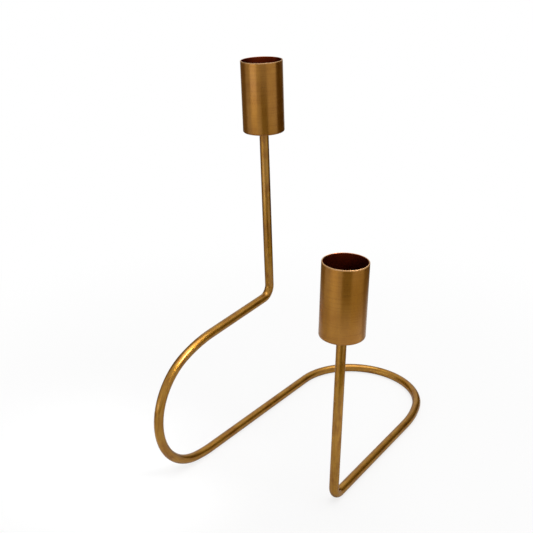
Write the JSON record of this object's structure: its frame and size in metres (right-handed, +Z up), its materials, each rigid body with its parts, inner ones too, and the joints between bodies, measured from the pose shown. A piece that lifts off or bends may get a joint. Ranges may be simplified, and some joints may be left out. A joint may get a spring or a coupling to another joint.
{
  "type": "double taper candle holder",
  "caption": "Satin brass candle holder: one round rod bent into a flat table loop and an upright loop, with a tall and a short stem that each end in a cup for a taper candle.",
  "frame": {"origin": "on the table, under the middle of the object's box", "axes": "+Z up, -Y to the front where the upright loop's nose is, +X to the side of the short stem"},
  "size_m": [0.1292, 0.2152, 0.2543],
  "materials": {
    "rod_brass": "satin antique brass, brushed along the rod",
    "cup_brass": "satin antique brass, brushed round the cup",
    "fixing_brass": "plain brass, a little dull"
  },
  "bodies": {
    "root": {"bent_rod": "rod_brass", "tall_cup": "cup_brass", "short_cup": "cup_brass", "tall_cup_washer": "fixing_brass", "short_cup_washer": "fixing_brass", "tall_cup_screw": "fixing_brass", "short_cup_screw": "fixing_brass"}
  },
  "joints": []
}
